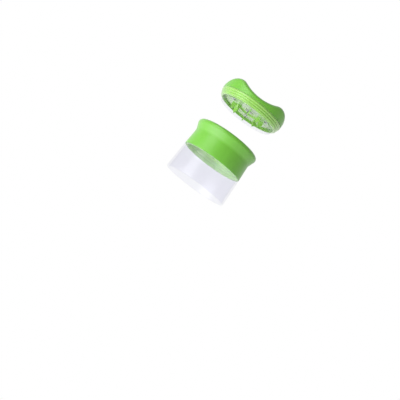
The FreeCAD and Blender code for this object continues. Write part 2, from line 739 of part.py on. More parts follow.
def make_rim():
    """Ribbed rim: a slanted band of rounded ridges with a lip inside that sits on the plate."""
    piece = new_piece("ribbed_rim", z=RIM_FOOT)
    ridges = [(*ridge_corner(step), "left", "rim_ridge_bend") for step in range(RIDGES)]
    shape = outline(piece, "section", "XZ_Plane", [
        (RIM_BORE, "0"),
        (f"{RIM_FOOT_RADIUS} - rim_foot_round", "0", "left", "rim_foot_round"),
        *ridges,
        (*ridge_corner(RIDGES), "left", "rim_top_round"),
        (f"{RIM_RADIUS} - rim_top_round", "rim_height"),
        (RIM_LIP_BORE, "rim_height"),
        (RIM_LIP_BORE, RIM_STEP),
        (RIM_BORE, RIM_STEP),
    ])
    revolve(piece, shape)
    return piece


def make_plate():
    """Holder plate: a dish that closes the holder, its flange under the rim's inner lip."""
    piece = new_piece("holder_plate", z=RIM_FOOT)
    floor_top = f"{PLATE_UNDERSIDE} + plate_floor"
    stud_bore = "spike_stud_radius + screw_fit"
    shape = outline(piece, "section", "XZ_Plane", [
        (stud_bore, PLATE_UNDERSIDE),
        (f"{PLATE_RADIUS} + rim_lip_width / 2", PLATE_UNDERSIDE),
        (f"{PLATE_RADIUS} + rim_lip_width / 2", RIM_STEP),
        (PLATE_RADIUS, RIM_STEP),
        (PLATE_RADIUS, "rim_height"),
        (f"{PLATE_RADIUS} - plate_wall", "rim_height"),
        (f"{PLATE_RADIUS} - plate_wall", floor_top),
        (stud_bore, floor_top),
    ])
    revolve(piece, shape)
    hole_radius = "holder_screw_radius + screw_fit"
    hole = circles(piece, "screw_hole", "XY_Plane", [("0", HOLDER_SCREW_CIRCLE, hole_radius)], floor_top)
    ring_pattern(piece, pocket(piece, hole, "plate_floor"), "holder_screw_count")
    return piece


def make_teeth_plate():
    """Teeth plate: a flat ring with a crown of pointed fins that bite into the vegetable's end."""
    piece = new_piece("teeth_plate", z=RIM_FOOT)
    ring = circles(piece, "ring", "XY_Plane", [
        ("0", "0", TEETH_PLATE_RADIUS),
        ("0", "0", f"{TOOTH_INNER} - teeth_plate_margin"),
    ], TEETH_UNDERSIDE)
    pad(piece, ring, "teeth_plate_thickness")
    tooth = outline(piece, "tooth", "XZ_Plane", [
        (TOOTH_INNER, f"{TEETH_UNDERSIDE} - tooth_shoulder"),
        (f"{TOOTH_OUTER} - tooth_tip_inset", f"{TEETH_UNDERSIDE} - tooth_length"),
        (TOOTH_OUTER, f"{TEETH_UNDERSIDE} - tooth_shoulder"),
        (TOOTH_OUTER, f"{TEETH_UNDERSIDE} + teeth_plate_thickness / 2"),
        (TOOTH_INNER, f"{TEETH_UNDERSIDE} + teeth_plate_thickness / 2"),
    ])
    fin = pad(piece, tooth, "tooth_thickness", side="Symmetric")
    ring_pattern(piece, fin, "tooth_count")
    hole_radius = "holder_screw_radius + screw_fit"
    hole = circles(piece, "screw_hole", "XY_Plane",
                   [("0", HOLDER_SCREW_CIRCLE, hole_radius)], PLATE_UNDERSIDE)
    ring_pattern(piece, pocket(piece, hole, "teeth_plate_thickness"), "holder_screw_count")
    return piece


def make_spike():
    """Centre spike: a pin with a flange under the plate and a stud in the plate's bore."""
    piece = new_piece("centre_spike", z=f"{RIM_FOOT} + {PLATE_UNDERSIDE}")
    shape = outline(piece, "section", "XZ_Plane", [
        ("0", "0 - spike_length"),
        ("spike_radius", "spike_point - spike_length"),
        ("spike_radius", "0 - spike_flange_thickness"),
        ("spike_flange_radius", "0 - spike_flange_thickness"),
        ("spike_flange_radius", "0"),
        ("spike_stud_radius", "0"),
        ("spike_stud_radius", "spike_stud_length"),
        ("0", "spike_stud_length"),
    ])
    revolve(piece, shape)
    return piece


def saddle_block(name, inset):
    """A round block with a wave cut across its top, drawn inside the handle's skin by an inset.

    The wave is a hollow between two lobes: three arcs that run into each other, and a straight
    fall outside each lobe. The insets keep the arcs' centres, so the skin is even.
    """
    piece = new_piece(name, z=f"{RIM_FOOT} + rim_height")
    radius = f"({HANDLE_RADIUS} - {inset})"
    crown = f"(lobe_round - {inset})"
    lobe_centre = "(handle_dip + saddle_depth - lobe_round)"
    dip_bend = f"({LOBE_SPREAD} ^ 2 / (2 * saddle_depth) + saddle_depth / 2 - lobe_round)"
    share = f"({crown} / ({dip_bend} + lobe_round))"
    meet_x = f"({LOBE_SPREAD} * (1 - {share}))"
    meet_z = f"({lobe_centre} + {share} * (handle_dip + {dip_bend} - {lobe_centre}))"
    fall_x = f"({LOBE_SPREAD} + {crown} * sin(lobe_fall))"
    fall_z = f"({lobe_centre} + {crown} * cos(lobe_fall))"
    side_x = f"(max({radius}; {fall_x}) + {MARGIN})"
    side_z = f"({fall_z} - ({side_x} - {fall_x}) * tan(lobe_fall))"
    top = f"(handle_dip + saddle_depth + {MARGIN})"

    plan = circles(piece, "plan", "XY_Plane", [("0", "0", radius)])
    pad(piece, plan, top)
    wave = outline(piece, "wave", "XZ_Plane", [
        (f"0 - {side_x}", side_z),
        (f"0 - {fall_x}", fall_z, "right", crown),
        (f"0 - {meet_x}", meet_z, "left", f"{dip_bend} + {inset}"),
        (meet_x, meet_z, "right", crown),
        (fall_x, fall_z),
        (side_x, side_z),
        (side_x, f"{top} + {MARGIN}"),
        (f"0 - {side_x}", f"{top} + {MARGIN}"),
    ])
    pocket(piece, wave, f"2 * {side_x}", side="Symmetric")
    base = piece.Tip
    names = []
    for number, edge in enumerate(base.Shape.Edges, start=1):
        middle = edge.valueAt((edge.FirstParameter + edge.LastParameter) / 2)
        on_side = abs(math.hypot(middle.x, middle.y) - measure(radius)) < TOLERANCE
        if on_side and edge.BoundBox.ZMin > MARGIN and edge.BoundBox.ZLength < measure(top) / 2:
            names.append(f"Edge{number}")
    rounded = piece.newObject("PartDesign::Fillet", f"{name}_top_round")
    rounded.Base = (base, names)
    bind(rounded, "Radius", f"handle_edge_round - {inset}")
    doc.recompute()
    return piece


def make_handle_core():
    """Rigid saddle inside the skin, with screw bosses that reach down to the holder plate."""
    piece = saddle_block("handle_core", "handle_skin")
    reach = f"(rim_height - {PLATE_UNDERSIDE} - plate_floor)"
    boss = circles(piece, "boss", "XY_Plane", [("0", HOLDER_SCREW_CIRCLE, "handle_boss_radius")])
    ring_pattern(piece, pad(piece, boss, reach, down=True), "holder_screw_count")
    depth = f"holder_screw_length - teeth_plate_thickness - plate_floor + {MARGIN}"
    pilot = circles(piece, "pilot", "XY_Plane",
                    [("0", HOLDER_SCREW_CIRCLE, "holder_screw_radius + screw_fit")], f"0 - {reach}")
    ring_pattern(piece, pocket(piece, pilot, depth, up=True), "holder_screw_count")
    return piece


def make_handle_grip():
    """Soft skin over the rigid saddle: the outer saddle less the room that the core takes."""
    outer = saddle_block("handle_outside", "0")
    room = saddle_block("handle_room", "handle_skin")
    skin = doc.addObject("Part::Cut", "handle_grip")
    skin.Label = "handle_grip"
    skin.Base = outer
    skin.Tool = room
    doc.recompute()
    return skin


def check_document():
    """Stop when any object failed to recompute."""
    failed = [item.Label for item in doc.Objects if "Invalid" in item.State or "Error" in item.State]
    if failed:
        raise RuntimeError(f"failed: {failed}")


def write_piece(piece):
    """Write one sub-part to its own file, once its shape is known to be sound."""
    shape = piece.Shape
    if shape.isNull() or not shape.isValid():
        raise RuntimeError(f"{piece.Label} has no valid shape")
    shape.exportStep(os.path.join("parts", f"{piece.Label}.step"))
    print(f"{piece.Label}: {len(shape.Solids)} solids, {shape.Volume:.0f} mm3")


def main():
    """Build every sub-part, check the document and write the files."""
    os.makedirs("parts", exist_ok=True)
    fill_sheet()
    pieces = [
        make_skirt(),
        make_grip(),
        make_core(),
        make_funnel(),
        make_deck(),
        make_blade(),
        make_comb(),
        make_coring_tube(),
        make_blade_screws(),
        make_upright_screws("deck_screws", "deck_screw", DECK_SCREW_CIRCLE, DECK_UNDERSIDE),
        make_cup(),
        make_rim(),
        make_plate(),
        make_teeth_plate(),
        make_spike(),
        make_upright_screws("holder_screws", "holder_screw", HOLDER_SCREW_CIRCLE,
                            f"{RIM_FOOT} + {TEETH_UNDERSIDE}"),
        make_handle_core(),
        make_handle_grip(),
    ]
    doc.recompute()
    check_document()
    for piece in pieces:
        write_piece(piece)


main()
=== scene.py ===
"""Looks of a hand-held twist spiralizer: a soft collar on a clear skirt, and a saddle-topped holder.

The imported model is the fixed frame. It is in metres, with +Z up the tool's axis, its origin at the
centre of the skirt's foot and the blade's cutting edge along +X.
"""

import math

import bmesh
import bpy
from bpy.props import FloatProperty, FloatVectorProperty, IntProperty, PointerProperty
from bpy.types import Operator, Panel, PropertyGroup
from mathutils import Matrix, Vector


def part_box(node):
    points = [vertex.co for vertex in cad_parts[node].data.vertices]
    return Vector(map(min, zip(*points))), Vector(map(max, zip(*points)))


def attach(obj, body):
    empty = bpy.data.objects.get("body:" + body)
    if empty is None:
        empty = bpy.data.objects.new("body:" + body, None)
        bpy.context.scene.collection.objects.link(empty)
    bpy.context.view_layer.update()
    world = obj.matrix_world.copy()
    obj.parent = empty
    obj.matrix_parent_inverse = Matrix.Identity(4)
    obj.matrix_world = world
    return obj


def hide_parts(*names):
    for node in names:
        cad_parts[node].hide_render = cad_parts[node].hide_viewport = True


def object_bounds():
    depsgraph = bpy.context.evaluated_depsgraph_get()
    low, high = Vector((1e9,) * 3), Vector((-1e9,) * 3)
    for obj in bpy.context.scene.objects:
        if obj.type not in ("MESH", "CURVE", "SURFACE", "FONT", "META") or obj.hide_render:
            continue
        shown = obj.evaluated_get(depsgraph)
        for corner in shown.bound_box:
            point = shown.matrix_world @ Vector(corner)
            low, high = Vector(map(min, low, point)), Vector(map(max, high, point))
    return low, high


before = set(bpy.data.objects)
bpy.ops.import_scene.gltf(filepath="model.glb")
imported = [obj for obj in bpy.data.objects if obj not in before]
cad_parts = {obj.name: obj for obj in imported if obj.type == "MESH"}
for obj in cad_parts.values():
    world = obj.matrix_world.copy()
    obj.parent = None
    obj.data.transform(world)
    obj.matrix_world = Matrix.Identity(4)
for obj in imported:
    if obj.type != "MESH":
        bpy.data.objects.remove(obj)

bl_info = {
    "name": "Hand-held spiralizer",
    "version": (1, 0, 0),
    "blender": (4, 5, 0),
    "location": "3D View > Sidebar > Spiralizer",
    "description": "Models the visible pieces of a hand-held spiralizer and sets up its studio",
    "category": "Object",
}

CAD_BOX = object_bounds()

MM = 0.001
WHOLE_TURN = 2 * math.pi
MERGE_DISTANCE = 0.002 * MM
SMOOTH_ANGLE = math.radians(32)

# steps over one small rounded corner of the rim, and over one of its ridges
CORNER_STEPS = 5
RIDGE_STEPS = 8

# flat sides of the small steel parts in a whole turn
TUBE_SIDES = 64
SPIKE_SIDES = 48

# a face whose normal rises or falls by more than this counts as a top or a bottom
LEVEL_NORMAL = 0.5

# cuts up the handle's side, and the width of its rounded edge that is pressed again, in edge rounds
SIDE_CUTS = 4
EDGE_SHARE = 1.05

# share of the light that a thin clear wall turns back, face on and where the eye looks along it,
# and the power of the way from the one to the other
CLEAR_BOUNCE = 0.04
CLEAR_EDGE_BOUNCE = 0.3
CLEAR_EDGE_POWER = 5.0

# surfaces of clear wall that one line of sight, with its reflections, may go through
CLEAR_LAYERS = 24

WHITE = (1.0, 1.0, 1.0, 1.0)

PICTURE_SIDE = 400
SOFTBOX_DISTANCE = 0.92
FLOOR_RADIUS = 2.5
FLOOR_SIDES = 96
FLOOR_DROP = 0.1 * MM

# where the wall's light starts, on a way through the room from -1 before the tool to 1 behind it
WALL_START = -0.2

# sockets of a colour Mix node, which has a set of each kind of value
MIX_FACTOR, MIX_A, MIX_B, MIX_RESULT = 0, 6, 7, 2


def reach(node):
    """Largest radius, lowest height and highest height of a round CAD node."""
    lowest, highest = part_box(node)
    return highest.x, lowest.z, highest.z


def to_linear(hex_colour):
    """An sRGB hex value as the linear red, green and blue that a shader takes."""
    channels = [int(hex_colour[start:start + 2], 16) / 255 for start in (1, 3, 5)]
    return tuple(c / 12.92 if c <= 0.04045 else ((c + 0.055) / 1.055) ** 2.4 for c in channels)


def length(name, description, default):
    """A size in metres that the sidebar shows in the scene's units."""
    return FloatProperty(name=name, description=description, default=default, min=0.0,
                         precision=4, subtype="DISTANCE", unit="LENGTH")


def colour(name, description, hex_colour):
    """A colour swatch."""
    return FloatVectorProperty(name=name, description=description, default=to_linear(hex_colour),
                               min=0.0, max=1.0, size=3, subtype="COLOR")


LIP_RADIUS, COLLAR_FOOT, COLLAR_CREST = reach("collar_grip")
SKIRT_RADIUS, SKIRT_FOOT, SPIGOT_TOP = reach("clear_skirt")
FUNNEL_RADIUS, FUNNEL_FOOT, FUNNEL_TOP = reach("feed_funnel")
CUP_RADIUS, CUP_FOOT, CUP_TOP = reach("holder_cup")
_, RIM_FOOT, RIM_TOP = reach("ribbed_rim")
HANDLE_RADIUS, HANDLE_FOOT, HANDLE_TOP = reach("handle_grip")
TUBE_RADIUS, TUBE_FOOT, TUBE_TOP = reach("coring_tube")
SPIKE_RADIUS, SPIKE_TIP, SPIKE_TOP = reach("centre_spike")


class CollarSizes(PropertyGroup):
    """Sizes of the collar, the skirt below it and the funnel inside it."""

    sides: IntProperty(name="Sides", description="Flat sides in a whole turn", default=160, min=24)
    arc_step: length("Arc step", "Longest step along a rounded corner", 0.5 * MM)
    joint_radius: length("Joint radius", "Collar's radius where the skirt meets it", 41.8 * MM)
    waist_radius: length("Waist radius", "Collar's radius at the waist", LIP_RADIUS - 3.6 * MM)
    waist_rise: length("Waist rise", "Waist's height above the skirt", 22.7 * MM)
    waist_bend: length("Waist bend", "Radius of the hollow at the waist", 9.0 * MM)
    lip_height: length("Lip height", "Height of the lip's upright band", 5.5 * MM)
    lip_under_round: length("Round under the lip", "Bend from the flare to the lip", 3.0 * MM)
    lip_round: length("Lip round", "Round on the lip's outer edge", 4.1 * MM)
    lip_inner_round: length("Inner lip round", "Round on the mouth's edge", 0.4 * MM)
    lip_width: length("Lip width", "From the lip's outside to the mouth", 4.6 * MM)
    foot_round: length("Foot round", "Soft edge of the sleeve on the skirt", 0.9 * MM)
    skin: length("Skin", "Thickness of the soft sleeve", 2.0 * MM)
    skirt_wall: length("Skirt wall", "Thickness of the clear wall", 2.4 * MM)
    skirt_round: length("Skirt round", "Round on the skirt's foot", 0.9 * MM)
    neck_drop: length("Neck drop", "Where the clear wall starts to step in", 3.0 * MM)
    spigot_wall: length("Spigot wall", "Wall of the neck inside the collar", 1.6 * MM)
    spigot_step: length("Spigot step", "From the joint's outside to the neck", 3.7 * MM)
    throat_radius: length("Throat radius", "Radius of the funnel's throat", 27.4 * MM)
    throat_height: length("Throat height", "Height of the funnel's throat", 4.5 * MM)
    funnel_wall: length("Funnel wall", "Thickness of the funnel", 1.6 * MM)
    funnel_flange: length("Funnel flange", "Thickness of the funnel's flange", 1.5 * MM)


class HolderSizes(PropertyGroup):
    """Sizes of the food holder above the collar."""

    cup_wall: length("Cup wall", "Thickness of the clear cup", 1.8 * MM)
    cup_draft: length("Cup draft", "How far the cup narrows to its foot", 1.0 * MM)
    cup_round: length("Cup round", "Round on the cup's foot", 0.8 * MM)
    rim_slant: length("Rim slant", "How far the rim widens to its top", 3.2 * MM)
    rim_foot_wall: length("Rim foot wall", "Width of the rim's lower face", 2.1 * MM)
    rim_groove: length("Rim groove", "Gap round the cup", 0.3 * MM)
    rim_foot_round: length("Rim foot round", "Round on the rim's lower edge", 0.6 * MM)
    rim_top_round: length("Rim top round", "Round on the rim's upper edge", 0.9 * MM)
    rim_lip_width: length("Rim lip width", "Width of the lip that holds the plate", 1.4 * MM)
    rim_lip_height: length("Rim lip height", "Height of the lip that holds the plate", 4.6 * MM)
    ridges: IntProperty(name="Ridges", description="Ridges up the rim", default=3, min=1)
    ridge_bend: length("Ridge bend", "Radius of each ridge", 1.7 * MM)
    saddle_depth: length("Saddle depth", "From the hollow to the lobes' tops", 9.2 * MM)
    lobe_spread: length("Lobe spread", "From the axis to each lobe's top", 30.6 * MM)
    lobe_round: length("Lobe round", "Radius of each lobe's crown", 14.0 * MM)
    lobe_fall: FloatProperty(name="Lobe fall", description="Slope outside each lobe",
                             default=math.radians(64), subtype="ANGLE", unit="ROTATION")
    edge_round: length("Handle edge", "Radius of the handle's rounded edge", 5.0 * MM)
    edge_steps: IntProperty(name="Edge steps", description="Steps round the handle's edge",
                            default=8, min=2)
    ring_width: length("Ring width", "Width of the rings across the handle's top", 2.4 * MM)
    handle_skin: length("Handle skin", "Thickness of the soft skin", 2.1 * MM)


class SteelSizes(PropertyGroup):
    """Sizes of the small steel parts."""

    tube_wall: length("Tube wall", "Thickness of the coring tube", 0.5 * MM)
    tube_bevel: length("Tube bevel", "Height of the tube's ground edge", 1.2 * MM)
    tube_edge: length("Tube edge", "Thickness left at the ground edge", 0.1 * MM)
    spike_stem: length("Spike stem", "Radius of the centre spike", 1.8 * MM)
    spike_point: length("Spike point", "Length of the spike's point", 5.0 * MM)
    spike_flange: length("Spike flange", "Thickness of the spike's flange", 1.2 * MM)
    spike_stud: length("Spike stud", "Length of the stud in the plate", 2.4 * MM)
    stud_radius: length("Stud radius", "Radius of the stud in the plate", 1.5 * MM)


class FinishColours(PropertyGroup):
    """Colours of the materials."""

    soft_green: colour("Soft sleeve", "Satin elastomer of the collar and handle", "#73C430")
    rim_green: colour("Rim", "Glossy rim and teeth", "#97D258")
    inner_green: colour("Inner plastic", "Collar's rigid inside", "#D3EEBA")
    clear: colour("Clear plastic", "Tint of a clear wall seen face on", "#FBFBFE")
    clear_edge: colour("Clear plastic's edge", "Tint of a clear wall seen along itself", "#F9F9FB")
    steel: colour("Steel", "Ground stainless steel", "#C9CBCE")
    floor: colour("Floor", "Pale floor", "#F2F2F2")


class StudioSettings(PropertyGroup):
    """Camera and lamps."""

    azimuth: FloatProperty(name="Azimuth", description="Turn of the camera round the tool",
                           default=math.radians(-3), subtype="ANGLE", unit="ROTATION")
    elevation: FloatProperty(name="Elevation", description="Camera's height above the tool's level",
                             default=math.radians(-6.0), subtype="ANGLE", unit="ROTATION")
    roll: FloatProperty(name="Roll", description="Lean of the tool's axis in the picture",
                        default=math.radians(36.3), subtype="ANGLE", unit="ROTATION")
    lens: FloatProperty(name="Lens", description="Focal length in millimetres", default=71.3, min=1.0)
    distance: length("Distance", "From the camera to the tool", 1.0)
    foot_across: FloatProperty(name="Foot across", description="Skirt foot's pixels from the left",
                               default=194.5, subtype="PIXEL")
    foot_down: FloatProperty(name="Foot down", description="Skirt foot's pixels from the top",
                             default=185.4, subtype="PIXEL")
    key_azimuth: FloatProperty(name="Key azimuth", description="Key lamp's turn from the camera",
                               default=math.radians(-52), subtype="ANGLE", unit="ROTATION")
    key_elevation: FloatProperty(name="Key elevation", description="Key lamp's rise above the tool",
                                 default=math.radians(-24), subtype="ANGLE", unit="ROTATION")
    key_width: length("Key width", "Width of the key softbox", 1.05)
    key_height: length("Key height", "Height of the key softbox", 0.65)
    key_power: FloatProperty(name="Key power", description="Power of the key lamp", default=7.3,
                             min=0.0, unit="POWER")
    fill_azimuth: FloatProperty(name="Fill azimuth", description="Fill lamp's turn from the camera",
                                default=math.radians(-48), subtype="ANGLE", unit="ROTATION")
    fill_elevation: FloatProperty(name="Fill elevation", description="Fill lamp's rise above the tool",
                                  default=math.radians(26), subtype="ANGLE", unit="ROTATION")
    fill_side: length("Fill side", "Side of the fill softbox", 0.6)
    fill_power: FloatProperty(name="Fill power", description="Power of the fill lamp", default=2.6,
                              min=0.0, unit="POWER")
    table_glow: FloatProperty(name="Table glow", description="Light that comes up through the table",
                              default=0.4, min=0.0)
    room_light: FloatProperty(name="Room light", description="Strength of the room before the tool",
                              default=0.23, min=0.0)
    wall_light: FloatProperty(name="Wall light", description="Strength of the wall behind the tool",
                              default=0.75, min=0.0)


# ---------------------------------------------------------------- modelling


def clear_selection():
    """Leave edit mode, with nothing selected."""
    if bpy.context.mode != "OBJECT":
        bpy.ops.object.mode_set(mode="OBJECT")
    bpy.ops.object.select_all(action="DESELECT")


def make_active(piece):
    """Select one object alone."""
    clear_selection()
    piece.select_set(True)
    bpy.context.view_layer.objects.active = piece


def select_where(piece, kind, wanted):
    """In edit mode, select the vertices, edges or faces for which wanted(element) is true."""
    bpy.ops.mesh.select_mode(type={"verts": "VERT", "edges": "EDGE", "faces": "FACE"}[kind])
    bpy.ops.mesh.select_all(action="DESELECT")
    cage = bmesh.from_edit_mesh(piece.data)
    for element in getattr(cage, kind):
        element.select_set(bool(wanted(element)))
    bmesh.update_edit_mesh(piece.data)


def arc(start, end, bend, steps):
    """Points after start and before end on the short arc that turns left from start to end."""
    start, end = Vector(start), Vector(end)
    along = end - start
    rise = math.sqrt(bend ** 2 - (along.length / 2) ** 2)
    centre = (start + end) / 2 + Vector((-along.y, along.x)).normalized() * rise
    first = math.atan2(*(start - centre).yx)
    swept = 2 * math.asin(along.length / 2 / bend)
    turns = [first + swept * step / steps for step in range(1, steps)]
    return [(centre.x + bend * math.cos(a), centre.y + bend * math.sin(a)) for a in turns]


def draw_section(name, corners, arc_step):
    """A closed outline in the XZ plane. A corner is (x, z), or (x, z, radius) where it is round."""
    clear_selection()
    bpy.ops.mesh.primitive_plane_add(size=MM, location=(corners[0][0], 0, corners[0][1]))
    piece = bpy.context.object
    piece.name = name
    bpy.ops.object.transform_apply(location=True, rotation=True, scale=True)
    bpy.ops.object.mode_set(mode="EDIT")
    bpy.ops.mesh.select_mode(type="VERT")
    bpy.ops.mesh.select_all(action="SELECT")
    bpy.ops.mesh.merge(type="CENTER")
    for here, following in zip(corners, corners[1:]):
        step = (following[0] - here[0], 0, following[1] - here[1])
        bpy.ops.mesh.extrude_region_move(TRANSFORM_OT_translate={"value": step})
    ends = [Vector((corner[0], 0, corner[1])) for corner in (corners[0], corners[-1])]
    select_where(piece, "verts", lambda v: min((v.co - end).length for end in ends) < MERGE_DISTANCE)
    bpy.ops.mesh.edge_face_add()
    bpy.ops.mesh.select_all(action="SELECT")
    bpy.ops.mesh.edge_face_add()
    for number, corner in enumerate(corners):
        if len(corner) < 3:
            continue
        before, here, after = (Vector((*corners[(number + step) % len(corners)][:2], 0))
                               for step in (-1, 0, 1))
        turn = (here - before).angle(after - here)
        place = Vector((here.x, 0, here.y))
        select_where(piece, "verts", lambda v: (v.co - place).length < MERGE_DISTANCE)
        bpy.ops.mesh.bevel(affect="VERTICES", offset_type="OFFSET", profile=0.5, clamp_overlap=False,
                           offset=corner[2] * math.tan(turn / 2),
                           segments=max(2, math.ceil(corner[2] * turn / arc_step)))
    bpy.ops.mesh.select_all(action="SELECT")
    bpy.ops.mesh.delete(type="ONLY_FACE")
    return piece


def turn_section(name, corners, arc_step, sides):
    """A closed section in the XZ plane turned once round the tool's axis, as on a lathe."""
    piece = draw_section(name, corners, arc_step)
    bpy.ops.mesh.select_all(action="SELECT")
    bpy.ops.mesh.spin(steps=sides, dupli=False, angle=WHOLE_TURN, use_auto_merge=True,
                      center=(0, 0, 0), axis=(0, 0, 1))
    bpy.ops.mesh.select_all(action="SELECT")
    bpy.ops.mesh.remove_doubles(threshold=MERGE_DISTANCE)
    bpy.ops.mesh.dissolve_degenerate(threshold=MERGE_DISTANCE)
    select_where(piece, "edges", lambda edge: not edge.link_faces)
    bpy.ops.mesh.delete(type="EDGE")
    bpy.ops.mesh.select_all(action="SELECT")
    bpy.ops.mesh.normals_make_consistent(inside=False)
    smooth(piece)
    return piece


def smooth(piece):
    """Shade smooth over gentle bends and keep the sharp edges."""
    make_active(piece)
    bpy.ops.object.shade_smooth_by_angle(angle=SMOOTH_ANGLE)


def apply_modifier(piece, kind, **settings):
    """Add one modifier with its settings and apply it."""
    make_active(piece)
    modifier = piece.modifiers.new(kind.title(), kind)
    for name, value in settings.items():
        setattr(modifier, name, value)
    bpy.ops.object.modifier_apply(modifier=modifier.name)


def dress(piece, material, body, node):
    """Give a new piece its material, its body and the node that it stands for."""
    piece.data.materials.clear()
    piece.data.materials.append(material)
    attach(piece, body)
    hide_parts(node)


def repaint(node, material):
    """Give a CAD node a better material."""
    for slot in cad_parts[node].material_slots:
        slot.material = material


# ---------------------------------------------------------------- materials


def add_node(tree, kind, inputs=None, **settings):
    """Add a node, with its settings and its inputs, each a value or another node's output."""
    node = tree.nodes.new(kind)
    for name, value in settings.items():
        setattr(node, name, value)
    for name, value in (inputs or {}).items():
        if isinstance(value, bpy.types.NodeSocket):
            tree.links.new(value, node.inputs[name])
        else:
            node.inputs[name].default_value = value
    return node


def new_material(name):
    """An empty node material, or the one of that name when it has been made already."""
    material = bpy.data.materials.get(name) or bpy.data.materials.new(name)
    material.use_nodes = True
    material.node_tree.nodes.clear()
    return material, material.node_tree


def opaque(rgb, share=1.0):
    """A colour with its alpha, darkened to a share of itself."""
    return (*(channel * share for channel in rgb), 1.0)


def soft_touch_elastomer():
    """Styrenic elastomer moulded over the rigid parts against a spark-eroded tool.

    Its roughness spreads the highlights into a satin glow, and a sheen stands in for the white haze
    in strong light. The grain is drawn at 0.6 mm, coarser than a real one, whose size is guessed.
    Neither the grain nor the slightly uneven green shows in a picture of 400 pixels.
    """
    rgb = bpy.context.scene.spiralizer_colours.soft_green
    material, tree = new_material("soft_touch_elastomer")
    place = add_node(tree, "ShaderNodeTexCoord").outputs["Object"]
    grain = add_node(tree, "ShaderNodeTexNoise", {
        "Vector": place, "Scale": 1 / (0.6 * MM), "Detail": 3.0,
    })
    flow = add_node(tree, "ShaderNodeTexNoise", {
        "Vector": place, "Scale": 1 / (28 * MM), "Detail": 2.0,
    })
    tint = add_node(tree, "ShaderNodeMix", {
        MIX_FACTOR: flow.outputs["Fac"], MIX_A: opaque(rgb, 0.93), MIX_B: opaque(rgb, 1.05),
    }, data_type="RGBA")
    gloss = add_node(tree, "ShaderNodeMapRange", {
        "Value": grain.outputs["Fac"], "To Min": 0.33, "To Max": 0.41,
    })
    relief = add_node(tree, "ShaderNodeBump", {
        "Height": grain.outputs["Fac"], "Strength": 0.12, "Distance": 0.05 * MM,
    })
    skin = add_node(tree, "ShaderNodeBsdfPrincipled", {
        "Base Color": tint.outputs[MIX_RESULT], "Roughness": gloss.outputs["Result"],
        "Normal": relief.outputs["Normal"], "IOR": 1.48, "Specular IOR Level": 1.0,
        "Sheen Weight": 0.5, "Sheen Roughness": 0.45, "Subsurface Weight": 0.12,
        "Subsurface Radius": (0.6, 1.0, 0.3), "Subsurface Scale": 1.2 * MM,
    })
    add_node(tree, "ShaderNodeOutputMaterial", {"Surface": skin.outputs["BSDF"]})
    return material


def glossy_polypropylene():
    """Polypropylene moulded in a polished tool, for the rim and the teeth.

    Polypropylene has no coat. The coat here stands in for the sharper part of its shine, and
    whitens the ridges towards both ends. The scuffs break the shine up a little, and the long
    shallow sink marks hardly show in a picture of 400 pixels.
    """
    rgb = bpy.context.scene.spiralizer_colours.rim_green
    material, tree = new_material("glossy_polypropylene")
    place = add_node(tree, "ShaderNodeTexCoord").outputs["Object"]
    sink = add_node(tree, "ShaderNodeTexNoise", {
        "Vector": place, "Scale": 1 / (9 * MM), "Detail": 1.0,
    })
    scuff = add_node(tree, "ShaderNodeTexNoise", {
        "Vector": place, "Scale": 1 / (1.4 * MM), "Detail": 4.0,
    })
    tint = add_node(tree, "ShaderNodeMix", {
        MIX_FACTOR: sink.outputs["Fac"], MIX_A: opaque(rgb, 0.95), MIX_B: opaque(rgb, 1.04),
    }, data_type="RGBA")
    gloss = add_node(tree, "ShaderNodeMapRange", {
        "Value": scuff.outputs["Fac"], "To Min": 0.24, "To Max": 0.32,
    })
    relief = add_node(tree, "ShaderNodeBump", {
        "Height": sink.outputs["Fac"], "Strength": 0.15, "Distance": 0.2 * MM,
    })
    shell = add_node(tree, "ShaderNodeBsdfPrincipled", {
        "Base Color": tint.outputs[MIX_RESULT], "Roughness": gloss.outputs["Result"],
        "Normal": relief.outputs["Normal"], "IOR": 1.49, "Specular IOR Level": 1.0,
        "Coat Weight": 1.0, "Coat Roughness": 0.22, "Sheen Weight": 0.4, "Sheen Roughness": 0.4,
        "Subsurface Weight": 0.15, "Subsurface Radius": (0.7, 1.0, 0.4), "Subsurface Scale": 1.5 * MM,
    })
    add_node(tree, "ShaderNodeOutputMaterial", {"Surface": shell.outputs["BSDF"]})
    return material


def satin_polypropylene():
    """Polypropylene moulded in a brushed tool, for the parts inside the collar and the holder.

    It lets a little light through, so the walls look paler and softer than the sleeve outside. The
    tool's marks are drawn as an even grain of 0.8 mm, by guess coarser than real ones. Neither they
    nor the cloudy tint show in a picture of 400 pixels.
    """
    rgb = bpy.context.scene.spiralizer_colours.inner_green
    material, tree = new_material("satin_polypropylene")
    place = add_node(tree, "ShaderNodeTexCoord").outputs["Object"]
    cloud = add_node(tree, "ShaderNodeTexNoise", {
        "Vector": place, "Scale": 1 / (14 * MM), "Detail": 2.0,
    })
    grain = add_node(tree, "ShaderNodeTexNoise", {
        "Vector": place, "Scale": 1 / (0.8 * MM), "Detail": 2.0,
    })
    tint = add_node(tree, "ShaderNodeMix", {
        MIX_FACTOR: cloud.outputs["Fac"], MIX_A: opaque(rgb, 0.95), MIX_B: opaque(rgb, 1.04),
    }, data_type="RGBA")
    relief = add_node(tree, "ShaderNodeBump", {
        "Height": grain.outputs["Fac"], "Strength": 0.08, "Distance": 0.05 * MM,
    })
    wall = add_node(tree, "ShaderNodeBsdfPrincipled", {
        "Base Color": tint.outputs[MIX_RESULT], "Roughness": 0.36, "Normal": relief.outputs["Normal"],
        "IOR": 1.49, "Subsurface Weight": 0.25, "Subsurface Radius": (0.7, 1.0, 0.4),
        "Subsurface Scale": 2.0 * MM,
    })
    add_node(tree, "ShaderNodeOutputMaterial", {"Surface": wall.outputs["BSDF"]})
    return material


